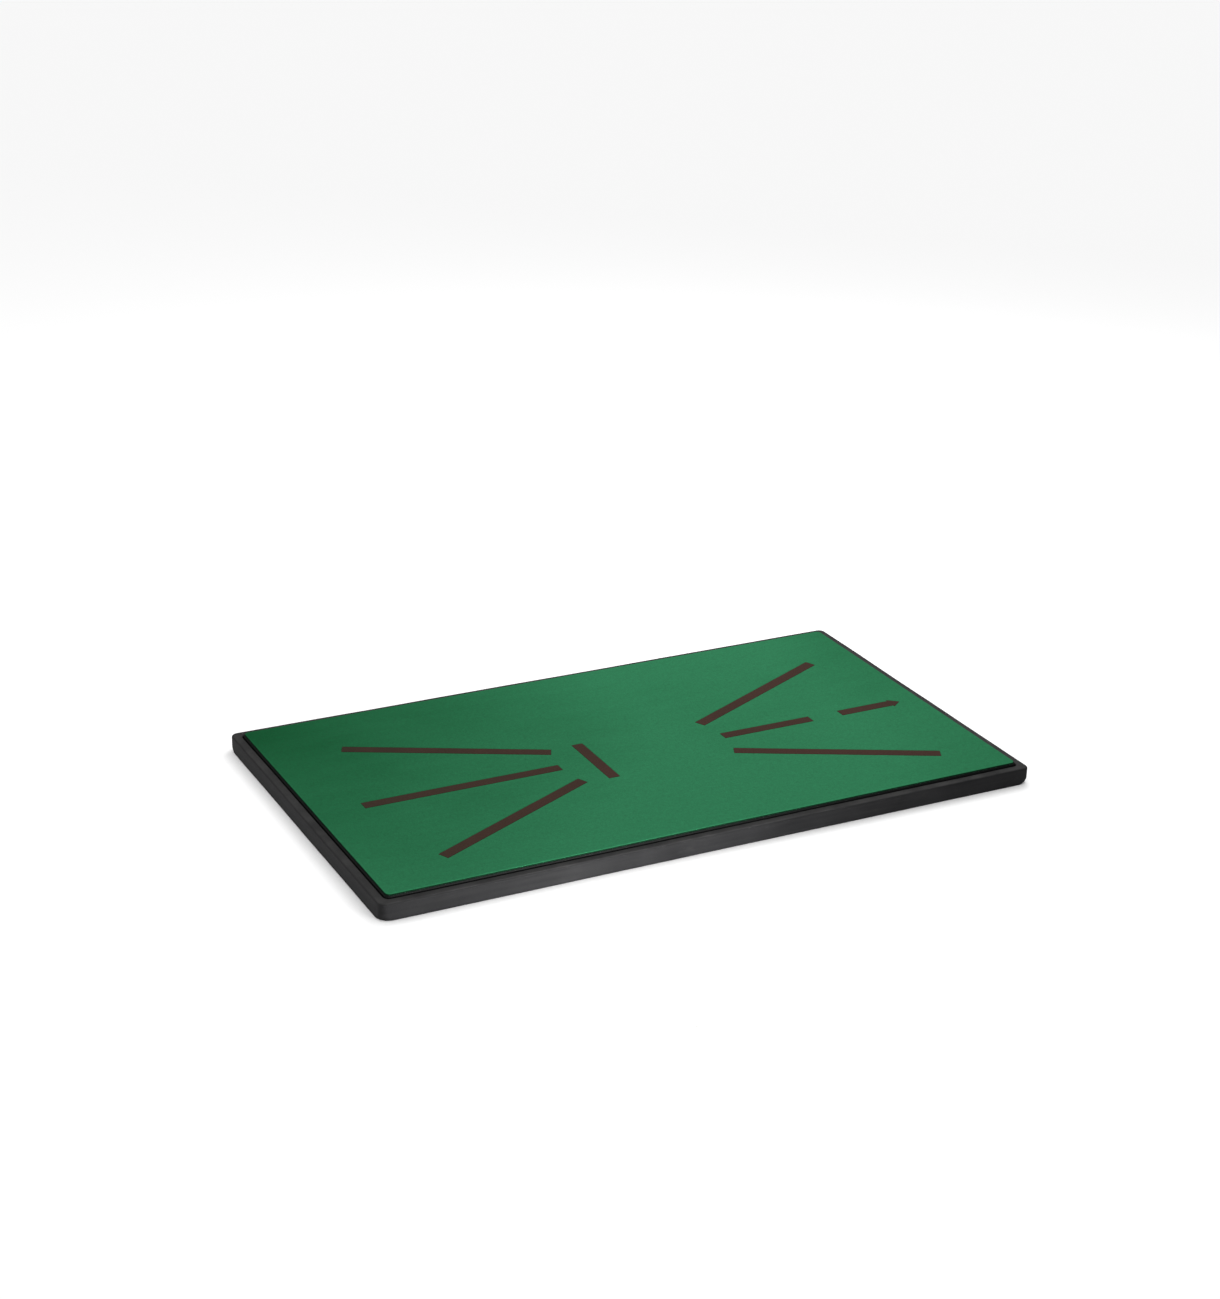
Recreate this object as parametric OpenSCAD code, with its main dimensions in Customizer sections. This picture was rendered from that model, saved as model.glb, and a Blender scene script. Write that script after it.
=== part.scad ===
// Golf hitting mat: a shallow rubber tray with a lift-out velvet insert that carries guide lines.
// The origin is the centre of the underside. +X runs along the mat, the way the arrow points.

/* [Tray] */
// Length of the tray
tray_l = 495; // [475:5:600]
// Width of the tray
tray_w = 282; // [232:2:340]
// Height of the rim
rim_h = 12.5; // [12:0.5:16]
// Width of the rim's flat top
rim_w = 6.2; // [4:0.2:8]
// Radius of the upright corners
corner_r = 5; // [4.5:0.5:9]
// Thickness of the floor
floor_t = 3; // [2.5:0.5:3.5]

/* [Tread] */
// Width of a groove in the underside
tread_w = 3; // [2:0.5:5]
// Depth of a groove
tread_d = 0.8; // [0.4:0.1:1.2]
// Distance from one groove to the next
tread_pitch = 15; // [10:1:25]
// Plain border round the grooves
tread_margin = 14; // [10:1:25]

/* [Insert] */
// Gap between the insert and the rim
insert_gap = 0.8; // [0.5:0.1:1.5]
// Height of the hitting face above the rim
insert_proud = 2.5; // [1.5:0.5:3]
// Radius of the insert's corners
insert_r = 3; // [1.5:0.5:5]
// Thickness of the velvet, with its pile
velvet_t = 1.2; // [0.8:0.1:1.5]
// Black edge left showing round the velvet
velvet_inset = 0.5; // [0.2:0.1:1]
// Thickness of the black backing
backing_t = 4; // [3:0.5:4.5]

/* [Cushion] */
// Gap between the cushion and the rim
cushion_gap = 1.3; // [0.8:0.1:3]
// Space between the cushion and the insert above it
rest_gap = 0.3; // [0.3:0.1:0.5]
// Thickness of the tape under the cushion
tape_t = 0.3; // [0.2:0.1:0.5]
// Width of a strip of tape
tape_w = 25; // [15:1:40]
// Length of a hook or loop patch
patch_l = 60; // [30:5:90]
// Width of a hook or loop patch
patch_w = 25; // [15:1:35]
// Thickness of a hook or loop patch
patch_t = 1; // [0.6:0.1:1.5]
// Distance from a patch to the insert's edge
patch_margin = 14; // [8:1:30]

/* [Guide lines] */
// Middle of the pattern along the mat, from the mat's own middle
pattern_x = 6.5; // [-7:0.5:7]
// Middle of the pattern across the mat, from the mat's own middle
pattern_y = -10; // [-10:0.5:10]
// Width of a line
line_w = 8.5; // [5:0.5:10]
// Thickness of a line
line_t = 0.3; // [0.2:0.1:0.5]
// Length of a long line
line_l = 147.5; // [100:0.5:148]
// Angle of a slanted line to the middle one
fan_angle = 25.8; // [15:0.1:26]
// Distance along the mat from the pattern's middle to a slanted line's inner end
fan_x = 60; // [50:1:60]
// Distance across the mat from the pattern's middle to a slanted line's inner end
fan_y = 25; // [20:1:25]
// Length of the short middle line on the arrow's side
short_l = 74; // [50:0.5:74]
// Space between the short middle line and the arrow
arrow_gap = 25; // [15:0.5:27]
// Length of the arrow
arrow_l = 52; // [40:1:52]
// Length of the arrow's head
head_l = 8; // [6:1:20]
// Width of the arrow's head
head_w = 12; // [10.5:0.5:16]
// Distance from the pattern's middle back to the address line
address_x = 37.5; // [30:0.5:40]
// Length of the address line
address_l = 59; // [40:1:70]

/* [Hidden] */

$fn = 64;
cut = 1; // how far a cutter runs past the face that it opens
LEFT = -1;
RIGHT = 1;
FRONT = -1;
BACK = 1;

recess_l = tray_l - 2 * rim_w;
recess_w = tray_w - 2 * rim_w;
insert_l = recess_l - 2 * insert_gap;
insert_w = recess_w - 2 * insert_gap;
insert_top = rim_h + insert_proud;
backing_top = insert_top - velvet_t;
backing_base = backing_top - backing_t;
cushion_base = floor_t + tape_t;
cushion_top = backing_base - rest_gap;
cushion_l = recess_l - 2 * cushion_gap;
cushion_w = recess_w - 2 * cushion_gap;

patch_x = insert_l / 2 - patch_margin - patch_l / 2;
patch_y = insert_w / 2 - patch_margin - patch_w / 2;
tape_l = cushion_l - 2 * patch_margin;
tape_y = cushion_w / 2 - patch_margin - tape_w / 2;

// An even number of grooves leaves flat rubber at the very middle of the underside.
tread_count = 2 * floor((tray_l / 2 - tread_margin) / tread_pitch);
tread_l = tray_w - 2 * tread_margin;

// The middle lines start on the circle that the slanted lines' inner ends stand on.
inner_r = sqrt(fan_x * fan_x + fan_y * fan_y);
arrow_x = inner_r + short_l + arrow_gap;

// A flat plate centred on the Z axis, with round upright corners.
module rounded_plate(length, width, height, r) {
    translate([-length / 2 + r, -width / 2, 0]) cube([length - 2 * r, width, height]);
    translate([-length / 2, -width / 2 + r, 0]) cube([length, width - 2 * r, height]);
    for (x = [-1, 1], y = [-1, 1])
        translate([x * (length / 2 - r), y * (width / 2 - r), 0])
            cylinder(h = height, r = r);
}

module base_tray() {
    color("#4a4a4c") difference() {
        rounded_plate(tray_l, tray_w, rim_h, corner_r);
        translate([0, 0, floor_t])
            rounded_plate(recess_l, recess_w, rim_h, insert_r + insert_gap);
        tread_grooves();
    }
}

module tread_grooves() {
    for (i = [0 : tread_count - 1])
        translate([(i - (tread_count - 1) / 2) * tread_pitch - tread_w / 2, -tread_l / 2, -cut])
            cube([tread_w, tread_l, tread_d + cut]);
}

module cushion_tape() {
    color("#d8d2c4")
        for (y = [-tape_y, 0, tape_y])
            translate([-tape_l / 2, y - tape_w / 2, floor_t]) cube([tape_l, tape_w, tape_t]);
}

module cushion_pad() {
    color("#2b2b2d") difference() {
        translate([0, 0, cushion_base])
            rounded_plate(cushion_l, cushion_w, cushion_top - cushion_base, insert_r);
        for (x = [LEFT, RIGHT], y = [FRONT, BACK])
            patch(x, y, cushion_top - patch_t, patch_t + cut);
    }
}

// A flat corner patch, seen from above as side x and edge y of the mat, from height z up.
module patch(x, y, z, height) {
    translate([x * patch_x - patch_l / 2, y * patch_y - patch_w / 2, z])
        cube([patch_l, patch_w, height]);
}

module hook_patch(x, y) {
    color("#161616") patch(x, y, cushion_top - patch_t, patch_t);
}

module loop_patch(x, y) {
    color("#1d1d1f") patch(x, y, backing_base, patch_t);
}

module insert_backing() {
    color("#121413") difference() {
        translate([0, 0, backing_base])
            rounded_plate(insert_l, insert_w, backing_t, insert_r);
        for (x = [LEFT, RIGHT], y = [FRONT, BACK])
            patch(x, y, backing_base - cut, patch_t + cut);
    }
}

module velvet_face() {
    color("#22704a") difference() {
        translate([0, 0, backing_top])
            rounded_plate(insert_l - 2 * velvet_inset, insert_w - 2 * velvet_inset,
                          velvet_t, insert_r - velvet_inset);
        on_face(line_t + cut) {
            for (x = [LEFT, RIGHT], y = [FRONT, BACK]) slanted_outline(x, y);
            left_middle_outline();
            right_middle_outline();
            arrow_outline();
            address_outline();
        }
    }
}

// Sinks a flat outline, drawn about the pattern's middle, into the top of the velvet.
module on_face(height) {
    translate([pattern_x, pattern_y, insert_top - line_t])
        linear_extrude(height) children();
}

module bar_outline(length) {
    translate([0, -line_w / 2]) square([length, line_w]);
}

// A slanted line on side x of the pattern and towards edge y, running out from its inner end.
module slanted_outline(x, y) {
    translate([x * fan_x, y * fan_y])
        rotate(x == RIGHT ? y * fan_angle : 180 - y * fan_angle) bar_outline(line_l);
}

module left_middle_outline() {
    translate([-inner_r - line_l, 0]) bar_outline(line_l);
}

module right_middle_outline() {
    translate([inner_r, 0]) bar_outline(short_l);
}

module arrow_outline() {
    translate([arrow_x, 0]) {
        bar_outline(arrow_l - head_l);
        polygon([[arrow_l - head_l, -head_w / 2], [arrow_l, 0], [arrow_l - head_l, head_w / 2]]);
    }
}

module address_outline() {
    translate([-address_x - line_w / 2, -address_l / 2]) square([line_w, address_l]);
}

module guide_line() {
    color("#4b342c") on_face(line_t) children();
}

module slanted_line(x, y) {
    guide_line() slanted_outline(x, y);
}

base_tray();
cushion_tape();
cushion_pad();
hook_patch(LEFT, FRONT);  // hook_patch_front_left
hook_patch(RIGHT, FRONT);  // hook_patch_front_right
hook_patch(LEFT, BACK);  // hook_patch_back_left
hook_patch(RIGHT, BACK);  // hook_patch_back_right
loop_patch(LEFT, FRONT);  // loop_patch_front_left
loop_patch(RIGHT, FRONT);  // loop_patch_front_right
loop_patch(LEFT, BACK);  // loop_patch_back_left
loop_patch(RIGHT, BACK);  // loop_patch_back_right
insert_backing();
velvet_face();
slanted_line(LEFT, BACK);  // left_line_back
guide_line() left_middle_outline();  // left_line_middle
slanted_line(LEFT, FRONT);  // left_line_front
slanted_line(RIGHT, BACK);  // right_line_back
guide_line() right_middle_outline();  // right_line_middle
slanted_line(RIGHT, FRONT);  // right_line_front
guide_line() arrow_outline();  // aim_arrow
guide_line() address_outline();  // address_line
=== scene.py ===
"""The looks of a golf hitting mat: a rubber tray with a lift-out insert that is faced with velvet.

Shapes are made in millimetres, in the CAD model's own frame, and turned into metres as each mesh is
finished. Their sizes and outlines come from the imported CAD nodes.
"""

import math
import random

import bmesh
import bpy
import numpy as np
from mathutils import Matrix, Vector, noise
from mathutils.geometry import delaunay_2d_cdt


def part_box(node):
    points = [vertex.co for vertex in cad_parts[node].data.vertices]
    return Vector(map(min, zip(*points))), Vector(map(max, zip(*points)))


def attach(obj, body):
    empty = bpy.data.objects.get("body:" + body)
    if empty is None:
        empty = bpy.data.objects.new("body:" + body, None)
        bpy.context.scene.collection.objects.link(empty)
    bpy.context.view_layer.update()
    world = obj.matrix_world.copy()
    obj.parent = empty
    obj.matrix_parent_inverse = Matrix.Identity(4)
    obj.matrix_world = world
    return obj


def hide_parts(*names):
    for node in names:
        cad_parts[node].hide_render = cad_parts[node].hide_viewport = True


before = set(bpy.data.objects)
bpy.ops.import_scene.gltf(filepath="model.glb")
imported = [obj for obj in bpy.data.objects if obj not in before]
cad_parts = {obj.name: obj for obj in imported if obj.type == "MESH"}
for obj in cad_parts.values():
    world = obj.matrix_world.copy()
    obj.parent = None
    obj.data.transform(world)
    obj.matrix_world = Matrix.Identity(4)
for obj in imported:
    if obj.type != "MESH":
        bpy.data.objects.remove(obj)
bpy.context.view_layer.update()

MM = 0.001
LINES = ["left_line_back", "left_line_middle", "left_line_front", "right_line_back",
         "right_line_middle", "right_line_front", "aim_arrow", "address_line"]
CORNERS = ["front_left", "front_right", "back_left", "back_right"]


# ---- Camera ------------------------------------------------------------------------------------

CAMERA_PLACE = (-0.769, -1.4335, 0.7692)
CAMERA_YAW = 27.69  # degrees to the right of +Y
CAMERA_PITCH = 22.67  # degrees below the horizon
CAMERA_ROLL = 1.58
CAMERA_LENS = 69.9


def add_camera():
    """The camera stands at the mat's front left and looks down on it."""
    data = bpy.data.cameras.new("camera")
    data.lens = CAMERA_LENS
    camera = bpy.data.objects.new("camera", data)
    camera.matrix_world = (
        Matrix.Translation(CAMERA_PLACE)
        @ Matrix.Rotation(math.radians(-CAMERA_YAW), 4, "Z")
        @ Matrix.Rotation(math.radians(90 - CAMERA_PITCH), 4, "X")
        @ Matrix.Rotation(math.radians(CAMERA_ROLL), 4, "Z")
    )
    bpy.context.scene.collection.objects.link(camera)
    bpy.context.scene.camera = camera


add_camera()


# ---- Studio ------------------------------------------------------------------------------------

SKY_AT_HORIZON = 0.45
SKY_OVERHEAD = 1.25
FLOOR_SIZE = 60
FLOOR_SHADE = 0.95


def add_softbox(name, place, target, size, power):
    """A rectangular area light at place that faces target. The camera doesn't see it."""
    data = bpy.data.lights.new(name, "AREA")
    data.shape = "RECTANGLE"
    data.size, data.size_y = size
    data.energy = power
    light = bpy.data.objects.new(name, data)
    light.location = place
    light.rotation_euler = (Vector(target) - Vector(place)).to_track_quat("-Z", "Y").to_euler()
    light.visible_camera = False
    bpy.context.scene.collection.objects.link(light)


def add_sky():
    """A white sky that is brighter overhead than at the horizon."""
    world = bpy.data.worlds.new("studio")
    world.use_nodes = True
    tree = world.node_tree
    tree.nodes["Background"].inputs["Color"].default_value = (1, 1, 1, 1)
    place = tree.nodes.new("ShaderNodeTexCoord")
    split = tree.nodes.new("ShaderNodeSeparateXYZ")
    rise = tree.nodes.new("ShaderNodeMapRange")
    rise.inputs["To Min"].default_value = SKY_AT_HORIZON
    rise.inputs["To Max"].default_value = SKY_OVERHEAD
    tree.links.new(place.outputs["Generated"], split.inputs["Vector"])
    tree.links.new(split.outputs["Z"], rise.inputs["Value"])
    tree.links.new(rise.outputs["Result"], tree.nodes["Background"].inputs["Strength"])
    bpy.context.scene.world = world


def add_floor():
    bpy.ops.mesh.primitive_plane_add(size=FLOOR_SIZE)
    floor = bpy.context.object
    floor.name = "studio_floor"
    material = bpy.data.materials.new("studio_floor")
    material.use_nodes = True
    shader = material.node_tree.nodes["Principled BSDF"]
    shader.inputs["Base Color"].default_value = (*[FLOOR_SHADE] * 3, 1)
    shader.inputs["Roughness"].default_value = 1.0
    shader.inputs["Specular IOR Level"].default_value = 0.0
    floor.data.materials.append(material)


bpy.context.scene.view_settings.view_transform = "Standard"
add_sky()
add_softbox("back_right_lamp", (0.45, 0.45, 0.75), (0.1, 0.05, 0), (0.7, 0.7), 4.2)
add_softbox("low_front_lamp", (-0.09, -0.33, 0.009), (-0.09, -0.14, 0.007), (0.17, 0.014), 2.2)
add_softbox("low_left_lamp", (-0.62, 0.0, 0.03), (-0.24, 0.0, 0.008), (0.4, 0.05), 1.6)
add_floor()


# ---- Outlines from the CAD model ---------------------------------------------------------------

FACE_SLACK = 0.02  # how far a corner may lie off its face's height


def box_mm(node):
    """The lowest and highest corner of a CAD node, in millimetres."""
    low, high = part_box(node)
    return low / MM, high / MM


def area_of(loop):
    """The signed area of a loop of points: positive when it runs anticlockwise."""
    return sum(a[0] * b[1] - b[0] * a[1] for a, b in zip(loop, loop[1:] + loop[:1])) / 2


def face_loops(node, z):
    """The outlines of a CAD node's flat faces at height z: anticlockwise, the largest first."""
    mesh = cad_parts[node].data
    places = [tuple(round(c / MM, 3) for c in v.co) for v in mesh.vertices]
    sides = set()
    for face in mesh.polygons:
        corners = [places[i] for i in face.vertices]
        if all(abs(c[2] - z) < FACE_SLACK for c in corners):
            sides.update(zip(corners, corners[1:] + corners[:1]))
    after = {a[:2]: b[:2] for a, b in sides if (b, a) not in sides}
    loops = []
    while after:
        point = next(iter(after))
        loop = []
        while point in after:
            loop.append(point)
            point = after.pop(point)
        loops.append(loop if area_of(loop) > 0 else loop[::-1])
    return sorted(loops, key=area_of, reverse=True)


def size_of(loop):
    """How long and how wide a loop is."""
    xs, ys = zip(*loop)
    return max(xs) - min(xs), max(ys) - min(ys)


# ---- Building closed meshes --------------------------------------------------------------------

ROW_SPACING = 0.866  # between staggered rows of points, as a share of the step within a row
KEEP_INSIDE = 1  # the triangulation's choice of the faces within the outline
CAP_SLACK = 1e-5  # points of a sheet that are nearer than this are one
WELD = 1e-4  # and so are points of a mesh that are nearer than this


def divided(loop, step):
    """The loop with points added, about step apart, along its sides."""
    made = []
    for a, b in zip(loop, loop[1:] + loop[:1]):
        count = max(1, round(math.dist(a, b) / step))
        made += [(a[0] + (b[0] - a[0]) * i / count, a[1] + (b[1] - a[1]) * i / count)
                 for i in range(count)]
    return made


def grown(loop, by):
    """The loop with its sides moved outwards by that much, or inwards if by is negative."""
    made = []
    for a, b, c in zip(loop[-1:] + loop[:-1], loop, loop[1:] + loop[:1]):
        u = Vector((b[1] - a[1], a[0] - b[0])).normalized()
        v = Vector((c[1] - b[1], b[0] - c[0])).normalized()
        moved = Vector(b) + (u + v) * (by / (1 + u.dot(v)))
        made.append((moved.x, moved.y))
    return made


def distance(places, loop):
    """How far outside a loop each place lies, negative within it."""
    best = np.full(len(places), np.inf)
    within = np.zeros(len(places), bool)
    for a, b in zip(loop, loop[1:] + loop[:1]):
        a, side = np.array(a), np.subtract(b, a)
        if not side.any():
            continue
        off = places - a
        along = np.clip(off @ side / (side @ side), 0, 1)
        best = np.minimum(best, np.hypot(*(off - along[:, None] * side).T))
        if side[1]:
            crosses = (off[:, 1] >= 0) != (off[:, 1] >= side[1])
            within ^= crosses & (off[:, 0] < off[:, 1] * side[0] / side[1])
    return np.where(within, -best, best)


def filling(outline, z, dips, step):
    """Points step apart, in staggered rows, that fill an outline and keep off the dips' slopes."""
    xs, ys = zip(*outline)
    rows = np.arange(min(ys), max(ys), step * ROW_SPACING)
    places = np.array([(x + (step / 2 if i % 2 else 0), y) for i, y in enumerate(rows)
                       for x in np.arange(min(xs), max(xs), step)])
    heights = np.full(len(places), float(z))
    keep = distance(places, outline) < -step * 0.5
    for loop, steps in dips:
        away = distance(places, loop)
        inner, sink = steps[-1]
        keep &= (away > steps[0][0] + step * 0.4) | (away < inner - step * 0.4)
        heights[away < inner] = z - sink
    return [(x, y, h) for (x, y), h, k in zip(places, heights, keep) if k]


def cap(outline, z, dips=(), step=None):
    """A triangulated sheet at height z, with points step apart inside it. Each dip is a loop and
    its steps from the outside in: pairs of how far the loop is grown and how far the sheet sinks
    there."""
    points = [(x, y, z) for x, y in outline]
    edges = [(i - 1, i) if i else (len(outline) - 1, 0) for i in range(len(outline))]
    for loop, steps in dips:
        for by, sink in steps:
            ring = grown(loop, by)
            first = len(points)
            edges += [(first + i, first + (i + 1) % len(ring)) for i in range(len(ring))]
            points += [(x, y, z - sink) for x, y in ring]
    if step:
        points += filling(outline, z, dips, step)
    flat = [Vector(p[:2]) for p in points]
    made, _, faces, origins, _, _ = delaunay_2d_cdt(flat, edges, [], KEEP_INSIDE, CAP_SLACK)
    return [(p.x, p.y, points[o[0]][2]) for p, o in zip(made, origins)], faces


def plate_ring(length, width, radius, z, counts):
    """A rounded rectangle at height z. counts is the spans on a long side, a short side and a
    corner."""
    long_spans, short_spans, arc_spans = counts
    corners = []
    for quarter, (sx, sy) in enumerate([(1, 1), (-1, 1), (-1, -1), (1, -1)]):
        cx, cy = sx * (length / 2 - radius), sy * (width / 2 - radius)
        turns = [math.pi / 2 * (quarter + i / arc_spans) for i in range(arc_spans + 1)]
        corners.append([(cx + radius * math.cos(t), cy + radius * math.sin(t)) for t in turns])
    ring = []
    for i, corner in enumerate(corners):
        spans = short_spans if i % 2 else long_spans
        a, b = Vector(corner[-1]), Vector(corners[(i + 1) % 4][0])
        ring += corner + [tuple(a.lerp(b, k / spans)) for k in range(1, spans)]
    return [(x, y, z) for x, y in ring]


def rounding(inset, z, turn_in, rise, spans=4):
    """Insets and heights round a quarter turn. It starts upright at inset and z, ends level, and
    goes turn_in inwards and rise upwards."""
    turns = [math.pi / 2 * i / spans for i in range(spans + 1)]
    return [(inset + turn_in * (1 - math.cos(t)), z + rise * math.sin(t)) for t in turns]


def solid(name, rings, bottom, top, shape=None, sharp=40):
    """A closed mesh: rings joined one to the next, with a sheet on the first and on the last.
    shape moves a point, in millimetres, and edges that turn by more than sharp degrees stay
    crisp."""
    mesh = bmesh.new()
    rows = [[mesh.verts.new(p) for p in ring] for ring in rings]
    for low, high in zip(rows, rows[1:]):
        for i in range(len(low)):
            mesh.faces.new((low[i - 1], low[i], high[i], high[i - 1]))
    for points, faces in (bottom, top):
        corners = [mesh.verts.new(p) for p in points]
        for face in faces:
            mesh.faces.new([corners[i] for i in face])
    bmesh.ops.remove_doubles(mesh, verts=mesh.verts, dist=WELD)
    for vertex in mesh.verts:
        vertex.co = shape(vertex.co) if shape else vertex.co
    return finished(name, mesh, sharp)


def finished(name, mesh, sharp=40):
    """The bmesh, drawn in millimetres, as a smooth-shaded object in the scene."""
    bmesh.ops.recalc_face_normals(mesh, faces=mesh.faces)
    bmesh.ops.scale(mesh, vec=(MM, MM, MM), verts=mesh.verts)
    data = bpy.data.meshes.new(name)
    mesh.to_mesh(data)
    mesh.free()
    data.polygons.foreach_set("use_smooth", [True] * len(data.polygons))
    data.set_sharp_from_angle(angle=math.radians(sharp))
    piece = bpy.data.objects.new(name, data)
    bpy.context.scene.collection.objects.link(piece)
    piece.modifiers.new("even_shading", "WEIGHTED_NORMAL").keep_sharp = True
    return piece


def flat_loop(ring):
    return [p[:2] for p in ring]


def dress(piece, material, body, node):
    """Gives a piece its material and the body that it rides on, and hides the CAD node that it
    takes the place of.
    """
    piece.data.materials.append(material)
    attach(piece, body)
    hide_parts(node)
    return piece


# ---- Materials ---------------------------------------------------------------------------------

DARKEST_NAP_AND_SHADE_PLACE = (-0.24, 0.13, 0.015)  # where the velvet is darkest, partly as its pile lies there and partly by painted shade


class Look:
    """A procedural material round one Principled shader. Textures are laid out in metres."""

    def __init__(self, name, specular):
        self.material = bpy.data.materials.new(name)
        self.material.use_nodes = True
        self.tree = self.material.node_tree
        self.shader = self.tree.nodes["Principled BSDF"]
        self.shader.inputs["Specular IOR Level"].default_value = specular
        coordinates = self.tree.nodes.new("ShaderNodeTexCoord")
        self.place = coordinates.outputs["Object"]
        self.facing = coordinates.outputs["Normal"]

    def put(self, socket, value):
        """Links value to a socket if it is another socket, and otherwise sets it."""
        if isinstance(value, bpy.types.NodeSocket):
            self.tree.links.new(value, socket)
        else:
            socket.default_value = value

    def node(self, kind, inputs, **settings):
        made = self.tree.nodes.new(kind)
        for key, value in settings.items():
            setattr(made, key, value)
        for key, value in inputs.items():
            self.put(made.inputs[key], value)
        return made

    def stretched(self, scale, turn=0.0):
        """The place, turned about Z and scaled along each axis, for grain with a direction."""
        inputs = {"Vector": self.place, "Scale": scale, "Rotation": (0, 0, turn)}
        return self.node("ShaderNodeMapping", inputs).outputs["Vector"]

    def part(self, vector, axis):
        """One of a vector's numbers."""
        return self.node("ShaderNodeSeparateXYZ", {"Vector": vector}).outputs[axis]

    def noise(self, scale, detail=2.0, rough=0.5, warp=0.0, place=None):
        inputs = {"Vector": place or self.place, "Scale": scale, "Detail": detail,
                  "Roughness": rough, "Distortion": warp}
        return self.node("ShaderNodeTexNoise", inputs).outputs["Fac"]

    def cells(self, scale):
        inputs = {"Vector": self.place, "Scale": scale}
        return self.node("ShaderNodeTexVoronoi", inputs).outputs["Distance"]

    def ridges(self, spacing, turn):
        """Even ridges, spacing metres apart, that run across the direction turn."""
        across = self.part(self.stretched((1, 1, 1), turn), "X")
        swing = self.math("SINE", self.math("MULTIPLY", across, math.tau / spacing), 0.0)
        return self.spread(swing, -1, 1)

    def spread(self, value, low, high, to_low=0.0, to_high=1.0):
        """Value from low to high becomes to_low to to_high, and stays within them."""
        inputs = {"Value": value, "From Min": low, "From Max": high,
                  "To Min": to_low, "To Max": to_high}
        return self.node("ShaderNodeMapRange", inputs).outputs["Result"]

    def math(self, operation, a, b):
        return self.node("ShaderNodeMath", {0: a, 1: b}, operation=operation).outputs[0]

    def total(self, *values):
        made = values[0]
        for value in values[1:]:
            made = self.math("ADD", made, value)
        return made

    def mix(self, share, a, b):
        """Colour a, with share of it turned into colour b."""
        a, b = (c if isinstance(c, bpy.types.NodeSocket) else (*c, 1) for c in (a, b))
        made = self.node("ShaderNodeMix", {0: share, 6: a, 7: b}, data_type="RGBA")
        return made.outputs[2]

    def scaled(self, colour, by):
        made = self.node("ShaderNodeVectorMath", {0: colour, "Scale": by}, operation="SCALE")
        return made.outputs["Vector"]

    def bump(self, height, depth, strength, under=None):
        """The normal for a height from 0 to 1 that stands for depth metres."""
        inputs = {"Height": height, "Distance": depth, "Strength": strength}
        if under:
            inputs["Normal"] = under
        return self.node("ShaderNodeBump", inputs).outputs["Normal"]

    def lie_and_painted_light(self):
        """A share from 0 at the mat's back left corner, darkest, to 1 past its middle, palest. It
        is partly the way that the pile lies and partly painted light and painted sheen that
        brighten the velvet towards its right and back. A strip along the right edge is darker."""
        # Partly painted light and painted sheen: the share rises away from the back left corner. It
        # falls in a strip along the right edge.
        away = self.node("ShaderNodeVectorMath", {0: self.place, 1: DARKEST_NAP_AND_SHADE_PLACE},
                         operation="DISTANCE").outputs["Value"]
        patches = self.spread(self.noise(6.0, detail=3, warp=0.6), 0.3, 0.7, -0.1, 0.1)
        darker_right_edge = self.spread(self.part(self.place, "X"), 0.17, 0.235, 0.0, -0.25)
        return self.total(self.spread(away, 0.0, 0.29), patches, darker_right_edge)

    def sheen(self, weight, roughness, tint):
        self.shader.inputs["Sheen Weight"].default_value = weight
        self.shader.inputs["Sheen Roughness"].default_value = roughness
        self.shader.inputs["Sheen Tint"].default_value = (*tint, 1)

    def finish(self, colour, roughness, normal):
        self.put(self.shader.inputs["Base Color"], colour)
        self.put(self.shader.inputs["Roughness"], roughness)
        self.put(self.shader.inputs["Normal"], normal)
        return self.material


def velvet_look():
    """Short green pile in soft patches, with faint streaks and the grain of single tufts. It is
    darker at the back left and paler and bluer past the middle, partly as the pile lies and partly
    by painted light and painted sheen. Its cut sides, and the slopes round the lines, are darkened
    with painted shade."""
    look = Look("green_velvet", specular=0.03)
    streaks = look.spread(look.noise(1.0, detail=2, place=look.stretched((14, 90, 50), 0.1)),
                          0.3, 0.7, -0.035, 0.035)
    nap_and_painted_light = look.spread(look.total(look.lie_and_painted_light(), streaks), 0, 1)
    # The pale end holds painted sheen and painted light as well as the pile's own paler green.
    colour = look.mix(nap_and_painted_light, (0.002, 0.057, 0.0165), (0.0205, 0.147, 0.064))
    tufts = look.noise(1100, detail=2, rough=0.6)
    clumps = look.noise(330, detail=3, rough=0.6, warp=0.4)
    grain = look.total(look.spread(tufts, 0.3, 0.7, 0.84, 1.08),
                       look.spread(clumps, 0.3, 0.7, -0.05, 0.09))
    # Painted shade: faces that turn from upright, the cut sides and the slopes of the dips round
    # the lines, are made darker.
    painted_side_shade = look.spread(look.part(look.facing, "Z"), 0.7, 0.985, 0.06, 1.0)
    colour = look.scaled(colour, look.math("MULTIPLY", grain, painted_side_shade))
    roughness = look.spread(clumps, 0.3, 0.7, 0.84, 0.96)
    normal = look.bump(look.noise(60, detail=2), 0.0006, 0.2)
    normal = look.bump(clumps, 0.0004, 0.3, normal)
    normal = look.bump(tufts, 0.0002, 0.45, normal)
    look.sheen(0.04, 0.4, (0.4, 1.0, 0.65))
    return look.finish(colour, roughness, normal)


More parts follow.
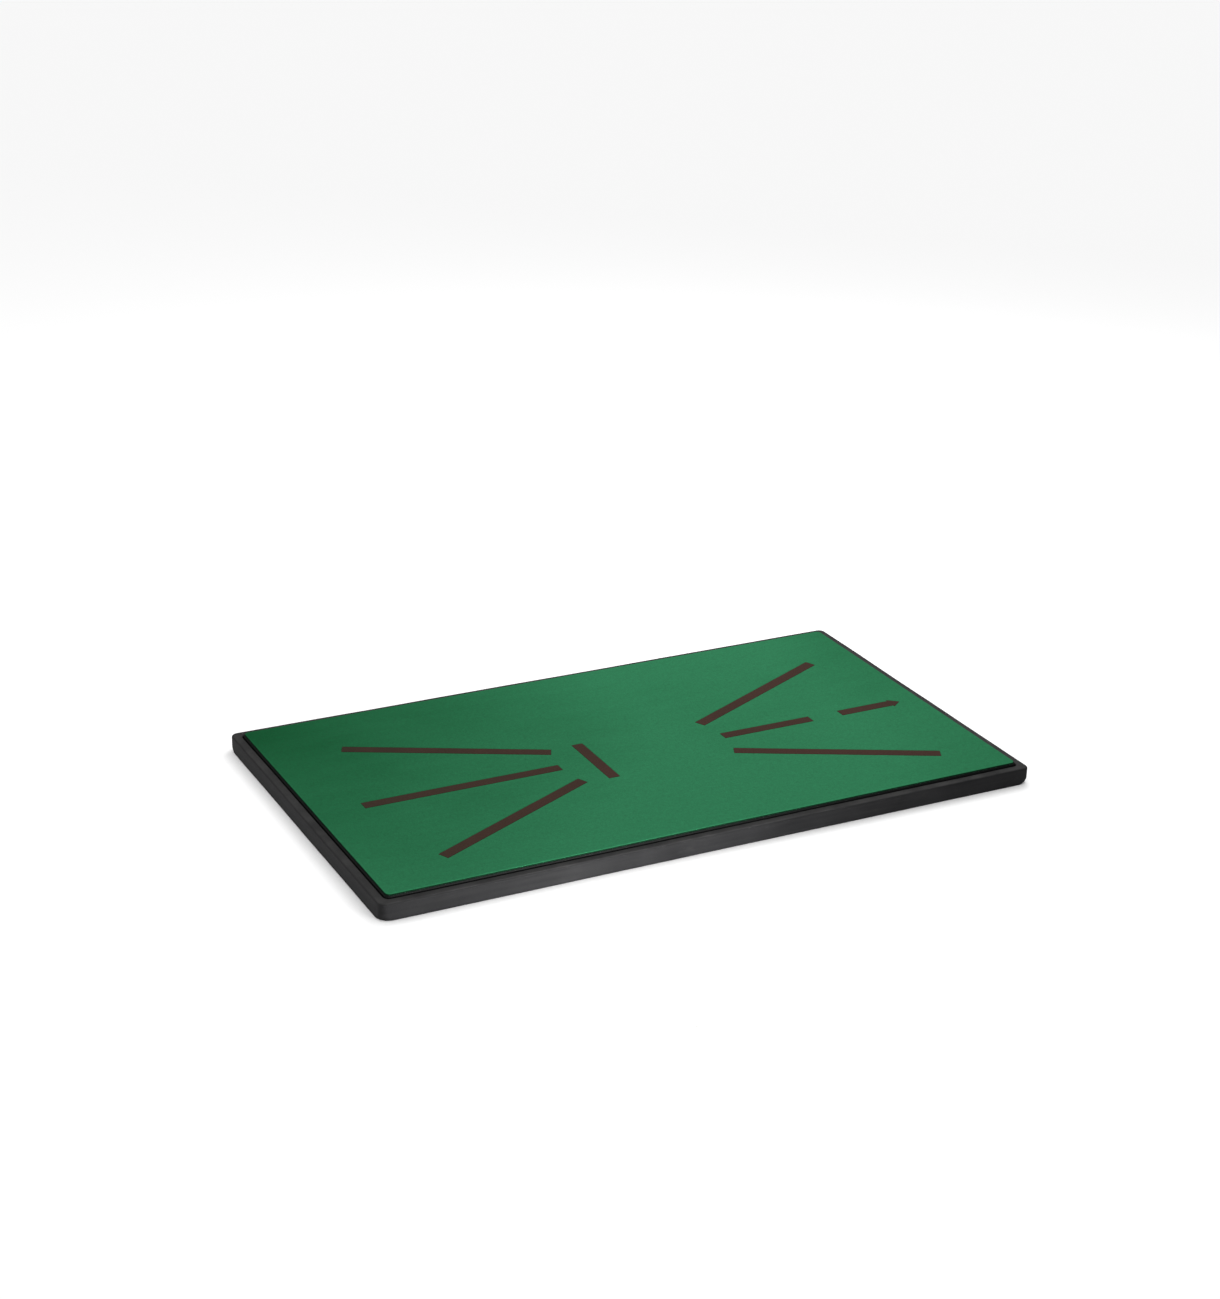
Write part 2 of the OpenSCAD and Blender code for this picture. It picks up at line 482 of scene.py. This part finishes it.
def line_look():
    """Dark brown flock pressed flat into the velvet. Like the velvet it is darker at the back left
    and paler past the middle, partly the way that the pile lies and partly painted light.
    """
    look = Look("brown_flock", specular=0.04)
    tufts = look.noise(1300, detail=2, rough=0.6)
    wear = look.spread(look.noise(45, detail=3), 0.35, 0.7, -0.15, 0.15)
    nap_and_painted_light = look.spread(look.total(look.lie_and_painted_light(), wear), 0, 1)
    # Partly painted light: the brown is paler towards the right and back, along with the way the
    # pile lies.
    colour = look.mix(nap_and_painted_light, (0.0175, 0.0165, 0.0095), (0.044, 0.021, 0.0155))
    colour = look.mix(look.spread(tufts, 0.3, 0.7, 0.0, 0.4), colour, (0.022, 0.012, 0.009))
    normal = look.bump(look.noise(260, detail=3), 0.0003, 0.4)
    normal = look.bump(tufts, 0.0002, 0.5, normal)
    look.sheen(0.03, 0.5, (0.95, 0.6, 0.5))
    return look.finish(colour, look.spread(tufts, 0.3, 0.7, 0.78, 0.94), normal)


def rubber_look():
    """Moulded charcoal rubber: a fine matt grain, faint flow marks, scuffs, and upward faces
    lighter in patches, partly dust and partly painted light.
    """
    look = Look("charcoal_rubber", specular=0.05)
    clouds = look.spread(look.noise(22, detail=4, warp=0.5), 0.35, 0.68)
    flow = look.spread(look.noise(1.0, detail=3, place=look.stretched((14, 14, 420))), 0.35, 0.7)
    scuffs = look.spread(look.noise(1.0, detail=5, rough=0.7, place=look.stretched((60, 60, 240))),
                         0.6, 0.74)
    specks = look.spread(look.cells(700), 0.0, 0.22, 1.0, 0.0)
    grain = look.noise(1500, detail=2)
    colour = look.mix(clouds, (0.0056, 0.0056, 0.006), (0.0094, 0.0094, 0.0099))
    colour = look.mix(look.math("MULTIPLY", flow, 0.35), colour, (0.014, 0.0138, 0.0138))
    colour = look.mix(look.math("MULTIPLY", scuffs, 0.3), colour, (0.023, 0.0225, 0.022))
    colour = look.mix(look.math("MULTIPLY", specks, 0.15), colour, (0.036, 0.036, 0.034))
    # Upward faces made lighter in patches: partly dust, partly painted light on the top.
    dust_and_painted_light = look.math("MULTIPLY", look.spread(look.part(look.facing, "Z"), 0.6, 1.0, 0, 0.6),
                     look.spread(look.noise(70, detail=4), 0.3, 0.65, 0.4, 1))
    colour = look.mix(dust_and_painted_light, colour, (0.044, 0.0435, 0.043))
    roughness = look.total(look.spread(clouds, 0, 1, 0.6, 0.7),
                           look.spread(grain, 0.3, 0.7, -0.05, 0.06),
                           look.math("MULTIPLY", scuffs, 0.1))
    normal = look.bump(look.noise(90, detail=3), 0.0004, 0.2)
    normal = look.bump(grain, 0.00012, 0.5, normal)
    return look.finish(colour, roughness, normal)


def backing_look():
    """Black sheet rubber, darkest at its cut edges, with a fine cloth print on its underside."""
    look = Look("black_backing", specular=0.06)
    clouds = look.noise(30, detail=3)
    cloth = look.total(look.ridges(0.0018, 0.0), look.ridges(0.0018, math.pi / 2))
    under = look.spread(look.part(look.facing, "Z"), -0.9, -0.3, 1.0, 0.0)
    printed = look.mix(look.spread(cloth, 1.2, 2.0, 0, 0.45),
                       look.mix(clouds, (0.0055, 0.006, 0.0058), (0.011, 0.012, 0.0115)),
                       (0.026, 0.027, 0.027))
    cut = look.mix(clouds, (0.0022, 0.0026, 0.0024), (0.0034, 0.0038, 0.0036))
    colour = look.mix(under, cut, printed)
    normal = look.bump(cloth, 0.00015, 0.6)
    return look.finish(colour, look.spread(clouds, 0.3, 0.7, 0.68, 0.84), normal)


def foam_look():
    """Dark closed-cell foam, cut so that its cells show."""
    look = Look("dark_foam", specular=0.2)
    cells = look.cells(1300)
    large = look.cells(520)
    clouds = look.noise(25, detail=3)
    colour = look.mix(clouds, (0.016, 0.016, 0.018), (0.032, 0.032, 0.035))
    colour = look.mix(look.spread(cells, 0.0, 0.5, 0.5, 0.0), colour, (0.006, 0.006, 0.007))
    normal = look.bump(large, 0.0004, 0.4)
    normal = look.bump(cells, 0.0003, 0.7, normal)
    return look.finish(colour, look.spread(cells, 0, 0.6, 0.95, 0.78), normal)


def hook_look():
    """Black nylon with a slight gloss, finely woven."""
    look = Look("black_nylon", specular=0.45)
    clouds = look.noise(200, detail=2)
    weave = look.total(look.ridges(0.0008, 0.0), look.ridges(0.0008, math.pi / 2))
    colour = look.mix(clouds, (0.006, 0.006, 0.006), (0.014, 0.014, 0.015))
    return look.finish(colour, look.spread(clouds, 0.3, 0.7, 0.42, 0.56),
                       look.bump(weave, 0.0001, 0.4))


def loop_look():
    """Soft black brushed loops."""
    look = Look("black_loops", specular=0.15)
    tangle = look.noise(1200, detail=3, rough=0.7, warp=1.2)
    colour = look.mix(look.spread(tangle, 0.3, 0.7), (0.004, 0.004, 0.005), (0.026, 0.026, 0.028))
    look.sheen(0.2, 0.5, (0.8, 0.8, 0.85))
    return look.finish(colour, look.spread(tangle, 0.3, 0.7, 0.98, 0.88),
                       look.bump(tangle, 0.0005, 0.9))


def tape_look():
    """Cream double-sided tape."""
    look = Look("cream_tape", specular=0.4)
    fibres = look.noise(1.0, detail=3, place=look.stretched((60, 900, 900)))
    colour = look.mix(fibres, (0.60, 0.55, 0.45), (0.74, 0.70, 0.61))
    return look.finish(colour, look.spread(fibres, 0.3, 0.7, 0.42, 0.6),
                       look.bump(fibres, 0.00005, 0.4))


# ---- Tray --------------------------------------------------------------------------------------

TRAY_RADIUS = 5.0  # of the upright corners at the rim
FOOT_RADIUS = 10.0  # of the same corners at the ground
RECESS_RADIUS = 3.8
LIP = 1.5  # rounding of the rim's outer edge
INNER_LIP = 0.6
TREAD_STEPS = [(0.25, 0), (0.0, -0.12), (-0.35, -0.8)]
TRAY_SPANS = (60, 34, 8)


def rubber_shape(point):
    """Moulded rubber is never quite straight: its walls wander by a tenth of a millimetre or so."""
    sway = noise.noise_vector(point / 55.0) * 0.16
    return Vector((point.x + sway.x, point.y + sway.y, point.z + sway.z * min(1.0, point.z / 6.0)))


def make_tray():
    low, high = box_mm("base_tray")
    length, width, rim = high.x - low.x, high.y - low.y, high.z
    recess = size_of(face_loops("base_tray", rim)[1])
    rim_width = (length - recess[0]) / 2
    floor = box_mm("cushion_tape")[0].z

    def ring(inset, z, radius):
        return plate_ring(length - 2 * inset, width - 2 * inset, radius, z, TRAY_SPANS)

    foot = [(inset, -z) for inset, z in rounding(0, -0.8, 0.8, 0.8)][::-1]
    wall = [(0, 2.0), (0, 3.5), (0, 5.0), (0, rim - 4), (0, rim - LIP - 0.6)]
    lip = rounding(0, rim - LIP, LIP, LIP, 6)
    rings = []
    for inset, z in foot + wall + lip + [(LIP + 0.8, rim)]:
        squat = max(0.0, 1 - z / 5) ** 2
        rings.append(ring(inset, z, TRAY_RADIUS - inset + (FOOT_RADIUS - TRAY_RADIUS) * squat))
    inner = rounding(0, rim - INNER_LIP, INNER_LIP, INNER_LIP)
    inside = [(rim_width - INNER_LIP - 0.9, rim)] + [(rim_width - i, z) for i, z in inner[::-1]]
    for inset, z in inside + [(rim_width, rim - 4), (rim_width, floor)]:
        rings.append(ring(inset, z, RECESS_RADIUS + rim_width - inset))
    treads = [(divided(loop, 12), TREAD_STEPS) for loop in face_loops("base_tray", 0)[1:]]
    under = cap(flat_loop(rings[0]), 0, treads)
    tray = solid("tray", rings, under, cap(flat_loop(rings[-1]), floor), rubber_shape)
    dress(tray, rubber_look(), "base", "base_tray")


# ---- Cushion and the patches on it -------------------------------------------------------------

HOOK_PATH = [(0.0, 0.0), (0.0, 0.25), (0.06, 0.38), (0.18, 0.43), (0.29, 0.36)]  # out and up
HOOK_WIRE = 0.06  # half of a strand's thickness
HOOK_HEIGHT = 0.5
HOOK_PITCH = 1.6
HOOK_SHIFT = 0.12  # how far a hook may stand off its place in the pattern
HOOK_ROOT = 0.05  # how deep a hook stands in the ground
CUSHION_RADIUS = 3
CUSHION_SPANS = (60, 34, 4)


def patch_dips(node, z, depth):
    """The hollows that the corner patches are glued into."""
    return [(divided(loop, 6), [(0.3, 0), (0.0, depth * 0.2), (-0.02, depth)])
            for loop in face_loops(node, z)[1:]]


def make_cushion():
    low, high = box_mm("cushion_pad")
    length, width = high.x - low.x, high.y - low.y
    profile = [(0.8, low.z), (0.25, low.z + 0.3), (0, low.z + 1.0), (0, high.z - 2.0)]
    profile += rounding(0, high.z - 1.3, 1.4, 1.2)
    rings = [plate_ring(length - 2 * i, width - 2 * i, CUSHION_RADIUS, z, CUSHION_SPANS)
             for i, z in profile]
    depth = high.z - box_mm("hook_patch_front_left")[0].z

    def shape(point):
        """The foam's top is a little uneven."""
        soft = 0.1 + 0.1 * noise.noise(Vector((point.x, point.y, 0)) / 38.0)
        return point - Vector((0, 0, soft * (point.z - low.z) / (high.z - low.z)))

    top = cap(flat_loop(rings[-1]), rings[-1][0][2], patch_dips("cushion_pad", high.z, depth), 7)
    cushion = solid("cushion", rings, cap(flat_loop(rings[0]), low.z), top, shape)
    dress(cushion, foam_look(), "base", "cushion_pad")


def add_hook(mesh, place, side):
    """One hook: a strand that rises from a place, bends over to one side and is closed at its
    ends."""
    path = [Vector(p) for p in HOOK_PATH]
    rows = []
    for before, here, after in zip(path[:1] + path[:-1], path, path[1:] + path[-1:]):
        run, rise = (after - before).normalized() * HOOK_WIRE
        rows.append([mesh.verts.new(place + Vector((side * (here.x + i * rise), j * HOOK_WIRE * 1.4,
                                                    here.y - i * run)))
                     for i, j in ((-1, -1), (1, -1), (1, 1), (-1, 1))])
    for low, high in zip(rows, rows[1:]):
        for i in range(4):
            mesh.faces.new((low[i - 1], low[i], high[i], high[i - 1]))
    mesh.faces.new(rows[0])
    mesh.faces.new(rows[-1])


def make_hooks(corner, material):
    """The patch's woven ground, and a field of hooks that stands in it."""
    node = f"hook_patch_{corner}"
    low, high = box_mm(node)
    ground = high.z - HOOK_HEIGHT
    loop = divided(face_loops(node, high.z)[0], 1.5)
    profile = [(-0.1, low.z), (-0.1, ground - 0.15), (-0.18, ground - 0.04), (-0.4, ground)]
    rings = [[(x, y, z) for x, y in grown(loop, by)] for by, z in profile]
    base = solid(f"hook_ground_{corner}", rings, cap(flat_loop(rings[0]), low.z),
                 cap(flat_loop(rings[-1]), ground))
    dress(base, material, "base", node)
    field = bmesh.new()
    chance = random.Random(corner)
    xs = np.arange(low.x + 1.2, high.x - 1.4, HOOK_PITCH)
    for row, y in enumerate(np.arange(low.y + 1.2, high.y - 1.1, HOOK_PITCH)):
        for x in xs + (HOOK_PITCH / 2 if row % 2 else 0.0):
            shift = Vector([chance.uniform(-HOOK_SHIFT, HOOK_SHIFT) for _ in range(2)] + [0])
            add_hook(field, Vector((x, y, ground - HOOK_ROOT)) + shift, 1 if row % 2 else -1)
    hooks = dress(finished(f"hook_field_{corner}", field), material, "base", node)
    tuple(s * MM for s in size_of(loop))


def make_loops(corner, material):
    """A patch of brushed loops, which faces down from the insert."""
    node = f"loop_patch_{corner}"
    low, high = box_mm(node)
    loop = divided(face_loops(node, high.z)[0], 1.2)
    profile = [(-0.1, high.z), (-0.1, low.z + 0.5), (-0.15, low.z + 0.25), (-0.5, low.z + 0.14)]
    rings = [[(x, y, z) for x, y in grown(loop, by)] for by, z in profile]

    def shape(point):
        """The loops stand in soft clumps."""
        clump = noise.noise(Vector((point.x, point.y, 5.0)) / 0.9) * 0.5 + 0.5
        share = max(0.0, 1 - (point.z - low.z) / 0.6)
        return point + Vector((0, 0, 0.22 * clump * share))

    patch = solid(f"loop_strip_{corner}", rings, cap(flat_loop(rings[0]), high.z),
                  cap(flat_loop(rings[-1]), rings[-1][0][2], step=0.8), shape)
    dress(patch, material, "insert", node)
    tuple(s * MM for s in size_of(loop))


# ---- Insert: backing, velvet and lines ---------------------------------------------------------

INSERT_RADIUS = 3.0
VELVET_RADIUS = 3.5
BACKING_SPANS = (90, 50, 6)
VELVET_SPANS = (300, 168, 8)
LINE_STEPS = [(0.75, 0.0), (0.4, 0.2), (0.15, 0.6), (0.02, 1.0)]  # growth, and share of the depth


def make_backing():
    low, high = box_mm("insert_backing")
    length, width = high.x - low.x, high.y - low.y
    profile = [(0.5, low.z), (0.15, low.z + 0.15), (0, low.z + 0.5), (0, high.z - 0.4),
               (0.12, high.z - 0.1), (0.4, high.z)]
    rings = [plate_ring(length - 2 * i, width - 2 * i, INSERT_RADIUS, z, BACKING_SPANS)
             for i, z in profile]
    patch_low, patch_high = box_mm("loop_patch_front_left")
    dips = patch_dips("insert_backing", low.z, patch_low.z - patch_high.z)
    under = cap(flat_loop(rings[0]), low.z, dips, 12)
    backing = solid("backing", rings, under, cap(flat_loop(rings[-1]), high.z))
    dress(backing, backing_look(), "insert", "insert_backing")


def nap_depth(x, y):
    """How far the velvet's surface lies below its highest level at a place."""
    broad = noise.noise(Vector((x / 85, y / 85, 3.7)))
    fine = noise.noise(Vector((x / 19, y / 19, 9.1)))
    return 0.16 + 0.11 * broad + 0.04 * fine


def velvet_shape(point):
    """Sinks a point of the velvet, or of what is pressed into it, to the nap, and frays the cut."""
    low, high = VELVET_LEVELS
    ragged = noise.noise_vector(Vector((point.x, point.y, 0)) / 2.3) * 0.09
    share = (point.z - low) / (high - low)
    return point + Vector((ragged.x, ragged.y, -nap_depth(point.x, point.y) * share))


def make_velvet(lines):
    low, high = box_mm("velvet_face")
    length, width = high.x - low.x, high.y - low.y
    profile = [(0.1, low.z), (0, low.z + 0.2), (0.02, high.z - 0.75), (0.12, high.z - 0.42),
               (0.32, high.z - 0.18), (0.62, high.z - 0.05), (1.1, high.z)]
    rings = [plate_ring(length - 2 * i, width - 2 * i, VELVET_RADIUS, z, VELVET_SPANS)
             for i, z in profile]
    line_low, line_high = box_mm("address_line")
    depth = line_high.z - line_low.z
    dips = [(divided(loop, 2.2), [(by, depth * share) for by, share in LINE_STEPS])
            for loop in face_loops("velvet_face", high.z)[1:]]
    top = cap(flat_loop(rings[-1]), high.z, dips, 4.2)
    velvet = solid("velvet", rings, cap(flat_loop(rings[0]), low.z), top, velvet_shape, sharp=70)
    dress(velvet, velvet_look(), "insert", "velvet_face")


def make_lines():
    """The guide lines, each a thin strip that lies a hair below the pile round it."""
    material = line_look()
    made = []
    for node in LINES:
        base, top = (corner.z for corner in box_mm(node))
        loop = divided(face_loops(node, top)[0], 2.2)
        profile = [(-0.05, base), (-0.06, top - 0.14), (-0.14, top - 0.07), (-0.34, top - 0.03)]
        rings = [[(x, y, z) for x, y in grown(loop, by)] for by, z in profile]
        upper = cap(flat_loop(rings[-1]), rings[-1][0][2])
        strip = solid(f"{node}_strip", rings, cap(flat_loop(rings[0]), base), upper,
                      velvet_shape, sharp=70)
        made.append(dress(strip, material, "insert", node))
    return made


# ---- Assembly ----------------------------------------------------------------------------------

VELVET_LEVELS = [corner.z for corner in box_mm("velvet_face")]

make_tray()
make_cushion()
hook_material, loop_material = hook_look(), loop_look()
for corner in CORNERS:
    make_hooks(corner, hook_material)
    make_loops(corner, loop_material)
make_backing()
make_velvet(make_lines())

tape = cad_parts["cushion_tape"]
tape.data.materials.clear()
tape.data.materials.append(tape_look())
